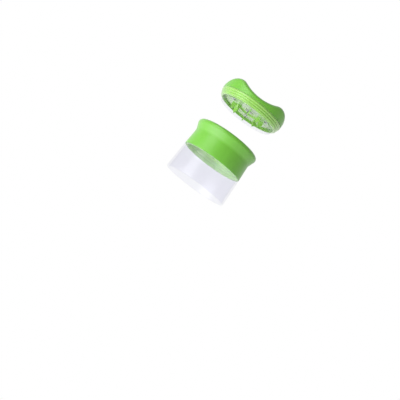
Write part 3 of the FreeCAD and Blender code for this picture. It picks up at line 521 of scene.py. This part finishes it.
def clear_styrene_acrylonitrile():
    """Styrene acrylonitrile, a clear stiff plastic, moulded in a polished tool.

    A thin wall shows what is behind it almost unchanged, greys where the eye looks along it, and
    carries a faint shine. The moulding's ripples are too shallow to show at 400 pixels.
    """
    colours = bpy.context.scene.spiralizer_colours
    material, tree = new_material("clear_styrene_acrylonitrile")
    place = add_node(tree, "ShaderNodeTexCoord").outputs["Object"]
    ripple = add_node(tree, "ShaderNodeTexNoise", {
        "Vector": place, "Scale": 1 / (22 * MM), "Detail": 1.0,
    })
    relief = add_node(tree, "ShaderNodeBump", {
        "Height": ripple.outputs["Fac"], "Strength": 0.1, "Distance": 0.2 * MM,
    })
    along = add_node(tree, "ShaderNodeLayerWeight", {"Blend": 0.18})
    tint = add_node(tree, "ShaderNodeMix", {
        MIX_FACTOR: along.outputs["Facing"],
        MIX_A: opaque(colours.clear), MIX_B: opaque(colours.clear_edge),
    }, data_type="RGBA")
    window = add_node(tree, "ShaderNodeBsdfTransparent", {"Color": tint.outputs[MIX_RESULT]})
    shine = add_node(tree, "ShaderNodeBsdfGlossy", {
        "Color": WHITE, "Roughness": 0.22, "Normal": relief.outputs["Normal"],
    })
    grazing = add_node(tree, "ShaderNodeLayerWeight", {"Blend": 0.5})
    steep = add_node(tree, "ShaderNodeMath", {
        0: grazing.outputs["Facing"], 1: CLEAR_EDGE_POWER,
    }, operation="POWER")
    bounce = add_node(tree, "ShaderNodeMapRange", {
        "Value": steep.outputs["Value"], "To Min": CLEAR_BOUNCE, "To Max": CLEAR_EDGE_BOUNCE,
    })
    wall = add_node(tree, "ShaderNodeMixShader", {
        0: bounce.outputs["Result"], 1: window.outputs["BSDF"], 2: shine.outputs["BSDF"],
    })
    add_node(tree, "ShaderNodeOutputMaterial", {"Surface": wall.outputs["Shader"]})
    return material


def ground_stainless_steel():
    """Martensitic stainless steel strip, hardened and ground along its length.

    The grinding lines roughen the shine and keep the blade from mirroring. They are drawn 0.25 mm
    wide, by guess several times as wide as real ones, and show faintly from above.
    """
    rgb = bpy.context.scene.spiralizer_colours.steel
    material, tree = new_material("ground_stainless_steel")
    place = add_node(tree, "ShaderNodeTexCoord").outputs["Object"]
    stretched = add_node(tree, "ShaderNodeMapping", {"Vector": place, "Scale": (0.04, 1.0, 1.0)})
    lines = add_node(tree, "ShaderNodeTexNoise", {
        "Vector": stretched.outputs["Vector"], "Scale": 1 / (0.25 * MM), "Detail": 3.0,
    })
    gloss = add_node(tree, "ShaderNodeMapRange", {
        "Value": lines.outputs["Fac"], "To Min": 0.18, "To Max": 0.34,
    })
    relief = add_node(tree, "ShaderNodeBump", {
        "Height": lines.outputs["Fac"], "Strength": 0.2, "Distance": 0.01 * MM,
    })
    steel = add_node(tree, "ShaderNodeBsdfPrincipled", {
        "Base Color": opaque(rgb), "Metallic": 1.0, "Roughness": gloss.outputs["Result"],
        "Normal": relief.outputs["Normal"],
    })
    add_node(tree, "ShaderNodeOutputMaterial", {"Surface": steel.outputs["BSDF"]})
    return material


def bright_stainless_steel():
    """Austenitic stainless steel, cold-headed and tumbled bright, for the screws.

    Tumbling leaves it shiny, with a cloudiness too faint to show at 400 pixels.
    """
    rgb = bpy.context.scene.spiralizer_colours.steel
    material, tree = new_material("bright_stainless_steel")
    place = add_node(tree, "ShaderNodeTexCoord").outputs["Object"]
    cloud = add_node(tree, "ShaderNodeTexNoise", {
        "Vector": place, "Scale": 1 / (0.7 * MM), "Detail": 2.0,
    })
    gloss = add_node(tree, "ShaderNodeMapRange", {
        "Value": cloud.outputs["Fac"], "To Min": 0.12, "To Max": 0.26,
    })
    steel = add_node(tree, "ShaderNodeBsdfPrincipled", {
        "Base Color": opaque(rgb), "Metallic": 1.0, "Roughness": gloss.outputs["Result"],
    })
    add_node(tree, "ShaderNodeOutputMaterial", {"Surface": steel.outputs["BSDF"]})
    return material


def opal_acrylic_table():
    """Opal acrylic sheet lit from beneath, as a product table is: a pale floor that fills shadows.

    Its rolled surface is uneven by too little to show. Seen from beneath it is open, and lamps that
    hang low shine up through it.
    """
    scene = bpy.context.scene
    rgb = scene.spiralizer_colours.floor
    material, tree = new_material("opal_acrylic_table")
    material.cycles.emission_sampling = "NONE"
    place = add_node(tree, "ShaderNodeTexCoord").outputs["Object"]
    rolled = add_node(tree, "ShaderNodeTexNoise", {
        "Vector": place, "Scale": 1 / (12 * MM), "Detail": 2.0,
    })
    relief = add_node(tree, "ShaderNodeBump", {
        "Height": rolled.outputs["Fac"], "Strength": 0.04, "Distance": 0.1 * MM,
    })
    sheet = add_node(tree, "ShaderNodeBsdfPrincipled", {
        "Base Color": opaque(rgb), "Roughness": 0.6, "Normal": relief.outputs["Normal"], "IOR": 1.49,
        "Emission Color": opaque(rgb), "Emission Strength": scene.spiralizer_studio.table_glow,
    })
    side = add_node(tree, "ShaderNodeNewGeometry")
    ray = add_node(tree, "ShaderNodeLightPath")
    passed = add_node(tree, "ShaderNodeMath", {
        0: side.outputs["Backfacing"], 1: ray.outputs["Is Shadow Ray"],
    }, operation="MAXIMUM")
    clear = add_node(tree, "ShaderNodeBsdfTransparent")
    both = add_node(tree, "ShaderNodeMixShader", {
        0: passed.outputs["Value"], 1: sheet.outputs["BSDF"], 2: clear.outputs["BSDF"],
    })
    add_node(tree, "ShaderNodeOutputMaterial", {"Surface": both.outputs["Shader"]})
    return material


# ---------------------------------------------------------------- pieces


class SPIRALIZER_OT_collar_sleeve(Operator):
    """Mould the soft sleeve of the collar: a taper to the waist, a flare and a rounded lip"""

    bl_idname = "spiralizer.collar_sleeve"
    bl_label = "Collar sleeve"

    def execute(self, context):
        size = context.scene.spiralizer_collar
        waist = COLLAR_FOOT + size.waist_rise
        lip = COLLAR_CREST - size.lip_height
        mouth = LIP_RADIUS - size.lip_width
        _, _, funnel_seat = reach("collar_core")
        inner_top = size.waist_radius - size.skin + (LIP_RADIUS - size.waist_radius) * (
            (funnel_seat - waist) / (lip - waist))
        sleeve = turn_section("collar_sleeve", [
            (size.joint_radius - size.skin, COLLAR_FOOT),
            (size.joint_radius, COLLAR_FOOT, size.foot_round),
            (size.waist_radius, waist, size.waist_bend),
            (LIP_RADIUS, lip, size.lip_under_round),
            (LIP_RADIUS, COLLAR_CREST, size.lip_round),
            (mouth, COLLAR_CREST, size.lip_inner_round),
            (mouth, FUNNEL_TOP),
            (inner_top, FUNNEL_TOP),
            (inner_top, funnel_seat),
            (size.waist_radius - size.skin, waist, size.waist_bend),
        ], size.arc_step, size.sides)
        dress(sleeve, soft_touch_elastomer(), "collar", "collar_grip")
        return {"FINISHED"}


class SPIRALIZER_OT_clear_skirt(Operator):
    """Mould the clear guard below the collar, with its neck inside the collar"""

    bl_idname = "spiralizer.clear_skirt"
    bl_label = "Clear skirt"

    def execute(self, context):
        size = context.scene.spiralizer_collar
        neck = size.joint_radius - size.spigot_step
        skirt = turn_section("skirt_moulding", [
            (SKIRT_RADIUS - size.skirt_wall, SKIRT_FOOT, size.skirt_round),
            (SKIRT_RADIUS, SKIRT_FOOT, size.skirt_round),
            (size.joint_radius, COLLAR_FOOT),
            (neck, COLLAR_FOOT),
            (neck, SPIGOT_TOP, size.spigot_wall / 3),
            (neck - size.spigot_wall, SPIGOT_TOP),
            (neck - size.spigot_wall, COLLAR_FOOT + size.spigot_wall / 2),
            (size.joint_radius - size.skirt_wall, COLLAR_FOOT - size.neck_drop),
        ], size.arc_step, size.sides)
        dress(skirt, clear_styrene_acrylonitrile(), "collar", "clear_skirt")
        return {"FINISHED"}


class SPIRALIZER_OT_feed_funnel(Operator):
    """Mould the funnel that leads the vegetable from the mouth to the blade"""

    bl_idname = "spiralizer.feed_funnel"
    bl_label = "Feed funnel"

    def execute(self, context):
        size = context.scene.spiralizer_collar
        mouth = LIP_RADIUS - size.lip_width
        seat = FUNNEL_TOP - size.funnel_flange
        throat = FUNNEL_FOOT + size.throat_height
        funnel = turn_section("funnel_moulding", [
            (size.throat_radius, FUNNEL_FOOT),
            (size.throat_radius + size.funnel_wall, FUNNEL_FOOT),
            (size.throat_radius + size.funnel_wall, throat, size.funnel_wall),
            (FUNNEL_RADIUS - size.funnel_wall, seat),
            (FUNNEL_RADIUS, seat),
            (FUNNEL_RADIUS, FUNNEL_TOP),
            (mouth, FUNNEL_TOP),
            (size.throat_radius, throat, 2 * size.funnel_wall),
        ], size.arc_step, size.sides)
        dress(funnel, satin_polypropylene(), "collar", "feed_funnel")
        return {"FINISHED"}


class SPIRALIZER_OT_inner_mouldings(Operator):
    """Give the rigid mouldings inside the collar and the holder their plastic"""

    bl_idname = "spiralizer.inner_mouldings"
    bl_label = "Inner mouldings"

    def execute(self, context):
        for node in ("collar_core", "blade_deck", "holder_plate", "handle_core"):
            repaint(node, satin_polypropylene())
        repaint("teeth_plate", glossy_polypropylene())
        return {"FINISHED"}


class SPIRALIZER_OT_cutting_steel(Operator):
    """Grind the blade, the comb, the coring tube and the centre spike"""

    bl_idname = "spiralizer.cutting_steel"
    bl_label = "Cutting steel"

    def execute(self, context):
        size = context.scene.spiralizer_steel
        steel = ground_stainless_steel()
        for node in ("slicing_blade", "julienne_comb"):
            repaint(node, steel)
        inner = TUBE_RADIUS - size.tube_wall
        tube = turn_section("coring_edge", [
            (inner, TUBE_FOOT),
            (TUBE_RADIUS, TUBE_FOOT),
            (TUBE_RADIUS, TUBE_TOP - size.tube_bevel),
            (inner + size.tube_edge, TUBE_TOP),
            (inner, TUBE_TOP),
        ], size.tube_edge, TUBE_SIDES)
        dress(tube, steel, "collar", "coring_tube")
        flange_top = SPIKE_TOP - size.spike_stud
        spike = turn_section("centring_spike", [
            (0, SPIKE_TIP),
            (size.spike_stem, SPIKE_TIP + size.spike_point, size.spike_stem),
            (size.spike_stem, flange_top - size.spike_flange, size.spike_flange / 3),
            (SPIKE_RADIUS, flange_top - size.spike_flange, size.spike_flange / 4),
            (SPIKE_RADIUS, flange_top),
            (size.stud_radius, flange_top),
            (size.stud_radius, SPIKE_TOP),
            (0, SPIKE_TOP),
        ], size.tube_edge, SPIKE_SIDES)
        dress(spike, steel, "holder", "centre_spike")
        return {"FINISHED"}


class SPIRALIZER_OT_screws(Operator):
    """Give the screws their bright steel"""

    bl_idname = "spiralizer.screws"
    bl_label = "Screws"

    def execute(self, context):
        for node in ("blade_screws", "deck_screws", "holder_screws"):
            repaint(node, bright_stainless_steel())
        return {"FINISHED"}


class SPIRALIZER_OT_holder_cup(Operator):
    """Mould the clear open cup under the food holder"""

    bl_idname = "spiralizer.holder_cup"
    bl_label = "Holder cup"

    def execute(self, context):
        size = context.scene.spiralizer_holder
        steps = context.scene.spiralizer_collar
        foot = CUP_RADIUS - size.cup_draft
        cup = turn_section("cup_moulding", [
            (foot - size.cup_wall, CUP_FOOT, size.cup_round),
            (foot, CUP_FOOT, size.cup_round),
            (CUP_RADIUS, RIM_FOOT),
            (CUP_RADIUS, CUP_TOP),
            (CUP_RADIUS - size.cup_wall, CUP_TOP),
            (CUP_RADIUS - size.cup_wall, RIM_FOOT),
        ], steps.arc_step / 2, steps.sides)
        dress(cup, clear_styrene_acrylonitrile(), "cup", "holder_cup")
        return {"FINISHED"}


class SPIRALIZER_OT_ribbed_rim(Operator):
    """Mould the slanted rim with its rounded ridges"""

    bl_idname = "spiralizer.ribbed_rim"
    bl_label = "Ribbed rim"

    def ridge_corner(self, size, foot, number):
        """Where a ridge starts, counted up the slanted side."""
        low = Vector((foot, RIM_FOOT + size.rim_foot_round))
        high = Vector((foot + size.rim_slant, RIM_TOP - size.rim_top_round))
        return low.lerp(high, number / size.ridges)

    def execute(self, context):
        size = context.scene.spiralizer_holder
        steps = context.scene.spiralizer_collar
        bore = CUP_RADIUS + size.rim_groove
        foot = bore + size.rim_foot_wall
        ledge = RIM_TOP - size.rim_lip_height
        corners = [self.ridge_corner(size, foot, number) for number in range(size.ridges + 1)]
        under = (foot - size.rim_foot_round, RIM_FOOT)
        over = (foot + size.rim_slant - size.rim_top_round, RIM_TOP)
        ridged = [under, *arc(under, corners[0], size.rim_foot_round, CORNER_STEPS)]
        for start, end in zip(corners, corners[1:]):
            ridged += [tuple(start), *arc(start, end, size.ridge_bend, RIDGE_STEPS)]
        top = corners[-1]
        ridged += [tuple(top), *arc(top, over, size.rim_top_round, CORNER_STEPS), over]
        rim = turn_section("rim_moulding", [
            (bore, RIM_FOOT),
            *ridged,
            (bore - size.rim_lip_width, RIM_TOP),
            (bore - size.rim_lip_width, ledge),
            (bore, ledge),
        ], steps.arc_step, steps.sides)
        dress(rim, glossy_polypropylene(), "holder", "ribbed_rim")
        return {"FINISHED"}


class SPIRALIZER_OT_handle(Operator):
    """Mould the soft saddle: a round block pressed to a wave, its upper edge rounded"""

    bl_idname = "spiralizer.handle"
    bl_label = "Handle"

    def wave_height(self, size, x):
        """Height of the saddle above its foot: a hollow, two crowns and a straight fall outside."""
        x = abs(x)
        crown_centre = HANDLE_TOP - HANDLE_FOOT - size.lobe_round
        dip_bend = (size.lobe_spread ** 2 / (2 * size.saddle_depth) + size.saddle_depth / 2
                    - size.lobe_round)
        meet = size.lobe_spread * dip_bend / (dip_bend + size.lobe_round)
        fall = size.lobe_spread + size.lobe_round * math.sin(size.lobe_fall)
        if x < meet:
            dip = HANDLE_TOP - HANDLE_FOOT - size.saddle_depth
            return dip + dip_bend - math.sqrt(dip_bend ** 2 - x ** 2)
        if x < fall:
            return crown_centre + math.sqrt(size.lobe_round ** 2 - (x - size.lobe_spread) ** 2)
        fall_height = crown_centre + size.lobe_round * math.cos(size.lobe_fall)
        return fall_height - (x - fall) * math.tan(size.lobe_fall)

    def pressing_sheet(self, size, steps):
        """A sheet with the saddle's wave, for the block's top to be pressed against."""
        half = HANDLE_RADIUS + size.edge_round
        count = 2 * math.ceil(half / (2 * steps.arc_step))
        across = [half * (2 * step / count - 1) for step in range(count + 1)]
        points = [(x, HANDLE_FOOT + self.wave_height(size, x)) for x in across]
        clear_selection()
        bpy.ops.mesh.primitive_plane_add(size=MM, location=(points[0][0], -half, points[0][1]))
        sheet = bpy.context.object
        bpy.ops.object.transform_apply(location=True, rotation=True, scale=True)
        bpy.ops.object.mode_set(mode="EDIT")
        bpy.ops.mesh.select_mode(type="VERT")
        bpy.ops.mesh.select_all(action="SELECT")
        bpy.ops.mesh.merge(type="CENTER")
        for here, following in zip(points, points[1:]):
            step = (following[0] - here[0], 0, following[1] - here[1])
            bpy.ops.mesh.extrude_region_move(TRANSFORM_OT_translate={"value": step})
        bpy.ops.mesh.select_all(action="SELECT")
        bpy.ops.mesh.extrude_region_move(TRANSFORM_OT_translate={"value": (0, 2 * half, 0)})
        smooth(sheet)
        return sheet

    def press(self, handle, target, inner):
        """Move the block's upper vertices outside this radius straight down or up onto the target."""
        pressed = [vertex.index for vertex in handle.data.vertices
                   if vertex.co.z > HANDLE_FOOT + MERGE_DISTANCE and vertex.co.xy.length > inner]
        handle.vertex_groups.new(name="pressed").add(pressed, 1.0, "REPLACE")
        apply_modifier(handle, "SHRINKWRAP", target=target, wrap_method="PROJECT",
                       vertex_group="pressed", use_project_x=False, use_project_y=False,
                       use_project_z=True, use_negative_direction=True, use_positive_direction=True)
        handle.vertex_groups.clear()

    def execute(self, context):
        size = context.scene.spiralizer_holder
        steps = context.scene.spiralizer_collar
        bends = [math.pi / 2 * step / size.edge_steps for step in range(1, size.edge_steps + 1)]
        depths = [size.edge_round * (1 - math.cos(bend)) for bend in bends]
        radius = HANDLE_RADIUS - depths[0]
        tall = HANDLE_TOP - HANDLE_FOOT + size.edge_round
        sheet = self.pressing_sheet(size, steps)
        clear_selection()
        bpy.ops.mesh.primitive_cylinder_add(vertices=steps.sides, radius=radius, depth=tall,
                                            end_fill_type="NGON",
                                            location=(0, 0, HANDLE_FOOT + tall / 2))
        handle = bpy.context.object
        handle.name = "handle_saddle"
        bpy.ops.object.transform_apply(location=True, rotation=True, scale=True)
        bpy.ops.object.mode_set(mode="EDIT")
        select_where(handle, "faces", lambda face: face.normal.z < -LEVEL_NORMAL)
        bpy.ops.mesh.delete(type="FACE")
        select_where(handle, "faces", lambda face: face.normal.z > LEVEL_NORMAL)
        for outer, inner in zip(depths, depths[1:]):
            bpy.ops.mesh.inset(thickness=inner - outer)
        top_radius = HANDLE_RADIUS - depths[-1]
        rings = round(top_radius / size.ring_width)
        for _ in range(rings - 1):
            bpy.ops.mesh.inset(thickness=top_radius / rings)
        bpy.ops.mesh.poke()
        bpy.ops.object.mode_set(mode="OBJECT")
        self.press(handle, sheet, 0)
        bpy.data.objects.remove(sheet)
        edge_start = HANDLE_RADIUS - EDGE_SHARE * size.edge_round
        self.press(handle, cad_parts["handle_grip"], edge_start)
        make_active(handle)
        bpy.ops.object.mode_set(mode="EDIT")
        just_above = HANDLE_FOOT + MERGE_DISTANCE
        select_where(handle, "edges", lambda edge: min(v.co.z for v in edge.verts) < just_above
                     < max(v.co.z for v in edge.verts))
        bpy.ops.mesh.subdivide(number_cuts=SIDE_CUTS)
        bpy.ops.object.mode_set(mode="OBJECT")
        apply_modifier(handle, "SOLIDIFY", thickness=size.handle_skin, offset=-1.0)
        smooth(handle)
        dress(handle, soft_touch_elastomer(), "holder", "handle_grip")
        return {"FINISHED"}


# ---------------------------------------------------------------- studio


class SPIRALIZER_OT_studio(Operator):
    """Lay the floor, light the room, hang the lamps and place the camera"""

    bl_idname = "spiralizer.studio"
    bl_label = "Studio"

    def back_at(self, turn, rise):
        """The direction from the tool to something at this turn and height round it."""
        level = math.cos(rise)
        return Vector((math.sin(turn) * level, -math.cos(turn) * level, math.sin(rise)))

    def camera_axes(self, studio):
        """Right, up and back of the camera, rolled so that the tool's axis leans to the right."""
        turn, roll = studio.azimuth, studio.roll
        back = self.back_at(turn, studio.elevation)
        level = Vector((math.cos(turn), math.sin(turn), 0))
        upright = back.cross(level)
        right = level * math.cos(roll) + upright * math.sin(roll)
        up = upright * math.cos(roll) - level * math.sin(roll)
        return right, up, back

    def place_camera(self, studio, right, up, back):
        """Aim the camera so that the skirt's foot falls where it should in the picture."""
        bpy.ops.object.camera_add()
        camera = bpy.context.object
        camera.name = "studio_camera"
        camera.data.lens = studio.lens
        pixel = studio.distance * camera.data.sensor_width / studio.lens / PICTURE_SIDE
        across = (studio.foot_across - PICTURE_SIDE / 2) * pixel
        raised = (PICTURE_SIDE / 2 - studio.foot_down) * pixel
        place = back * studio.distance - right * across - up * raised
        turned = Matrix((right, up, back)).transposed().to_4x4()
        camera.matrix_world = Matrix.Translation(place) @ turned
        bpy.context.scene.camera = camera

    def hang_softbox(self, name, turn, rise, width, height, power):
        """A softbox that faces the middle of the tool."""
        aim = (CAD_BOX[0] + CAD_BOX[1]) / 2
        towards = self.back_at(turn, rise)
        bpy.ops.object.light_add(type="AREA", location=aim + towards * SOFTBOX_DISTANCE)
        lamp = bpy.context.object
        lamp.name = name
        lamp.rotation_euler = towards.to_track_quat("Z", "Y").to_euler()
        lamp.data.shape = "RECTANGLE"
        lamp.data.size = width
        lamp.data.size_y = height
        lamp.data.energy = power

    def light_room(self, studio):
        """White surroundings: full white to the eye, and lighting the tool most from behind."""
        world = bpy.data.worlds.new("white_room")
        bpy.context.scene.world = world
        world.use_nodes = True
        tree = world.node_tree
        tree.nodes.clear()
        direction = add_node(tree, "ShaderNodeTexCoord").outputs["Generated"]
        across = add_node(tree, "ShaderNodeSeparateXYZ", {"Vector": direction})
        level = add_node(tree, "ShaderNodeMapRange", {
            "Value": across.outputs["Y"], "From Min": WALL_START,
            "To Min": studio.room_light, "To Max": studio.wall_light,
        })
        ray = add_node(tree, "ShaderNodeLightPath")
        lit = add_node(tree, "ShaderNodeBackground", {
            "Color": WHITE, "Strength": level.outputs["Result"],
        })
        shown = add_node(tree, "ShaderNodeBackground", {"Color": WHITE, "Strength": 1.0})
        both = add_node(tree, "ShaderNodeMixShader", {
            0: ray.outputs["Is Camera Ray"],
            1: lit.outputs["Background"], 2: shown.outputs["Background"],
        })
        add_node(tree, "ShaderNodeOutputWorld", {"Surface": both.outputs["Shader"]})

    def lay_floor(self):
        """A wide round floor just under the skirt's foot."""
        clear_selection()
        bpy.ops.mesh.primitive_circle_add(vertices=FLOOR_SIDES, radius=FLOOR_RADIUS,
                                          fill_type="NGON", location=(0, 0, SKIRT_FOOT - FLOOR_DROP))
        floor = bpy.context.object
        floor.name = "studio_floor"
        bpy.ops.object.transform_apply(location=True, rotation=True, scale=True)
        floor.data.materials.append(opal_acrylic_table())

    def execute(self, context):
        studio = context.scene.spiralizer_studio
        right, up, back = self.camera_axes(studio)
        self.lay_floor()
        self.light_room(studio)
        self.hang_softbox("key_softbox", studio.azimuth + studio.key_azimuth, studio.key_elevation,
                          studio.key_width, studio.key_height, studio.key_power)
        self.hang_softbox("fill_softbox", studio.azimuth + studio.fill_azimuth, studio.fill_elevation,
                          studio.fill_side, studio.fill_side, studio.fill_power)
        self.place_camera(studio, right, up, back)
        context.scene.cycles.transparent_max_bounces = CLEAR_LAYERS
        context.scene.view_settings.view_transform = "Standard"
        return {"FINISHED"}


class SPIRALIZER_PT_sidebar(Panel):
    """The tool's pieces and settings in the 3D view's sidebar"""

    bl_label = "Spiralizer"
    bl_idname = "SPIRALIZER_PT_sidebar"
    bl_space_type = "VIEW_3D"
    bl_region_type = "UI"
    bl_category = "Spiralizer"

    def draw(self, context):
        layout = self.layout
        for operator in OPERATORS:
            layout.operator(operator.bl_idname)
        for name in SETTINGS:
            settings = getattr(context.scene, name)
            box = layout.box()
            for prop in settings.bl_rna.properties:
                if prop.identifier not in ("name", "rna_type"):
                    box.prop(settings, prop.identifier)


SETTINGS = {
    "spiralizer_collar": CollarSizes,
    "spiralizer_holder": HolderSizes,
    "spiralizer_steel": SteelSizes,
    "spiralizer_colours": FinishColours,
    "spiralizer_studio": StudioSettings,
}
OPERATORS = (
    SPIRALIZER_OT_collar_sleeve,
    SPIRALIZER_OT_clear_skirt,
    SPIRALIZER_OT_feed_funnel,
    SPIRALIZER_OT_inner_mouldings,
    SPIRALIZER_OT_cutting_steel,
    SPIRALIZER_OT_screws,
    SPIRALIZER_OT_holder_cup,
    SPIRALIZER_OT_ribbed_rim,
    SPIRALIZER_OT_handle,
    SPIRALIZER_OT_studio,
)


def register():
    """Add the settings, the operators and the panel to Blender."""
    for name, group in SETTINGS.items():
        bpy.utils.register_class(group)
        setattr(bpy.types.Scene, name, PointerProperty(type=group))
    for operator in OPERATORS:
        bpy.utils.register_class(operator)
    bpy.utils.register_class(SPIRALIZER_PT_sidebar)


def unregister():
    """Take them out again."""
    bpy.utils.unregister_class(SPIRALIZER_PT_sidebar)
    for operator in reversed(OPERATORS):
        bpy.utils.unregister_class(operator)
    for name, group in SETTINGS.items():
        delattr(bpy.types.Scene, name)
        bpy.utils.unregister_class(group)


def main():
    """Make every piece and the studio."""
    register()
    bpy.ops.spiralizer.collar_sleeve()
    bpy.ops.spiralizer.clear_skirt()
    bpy.ops.spiralizer.feed_funnel()
    bpy.ops.spiralizer.inner_mouldings()
    bpy.ops.spiralizer.cutting_steel()
    bpy.ops.spiralizer.screws()
    bpy.ops.spiralizer.holder_cup()
    bpy.ops.spiralizer.ribbed_rim()
    bpy.ops.spiralizer.handle()
    bpy.ops.spiralizer.studio()


if __name__ == "__main__":
    main()
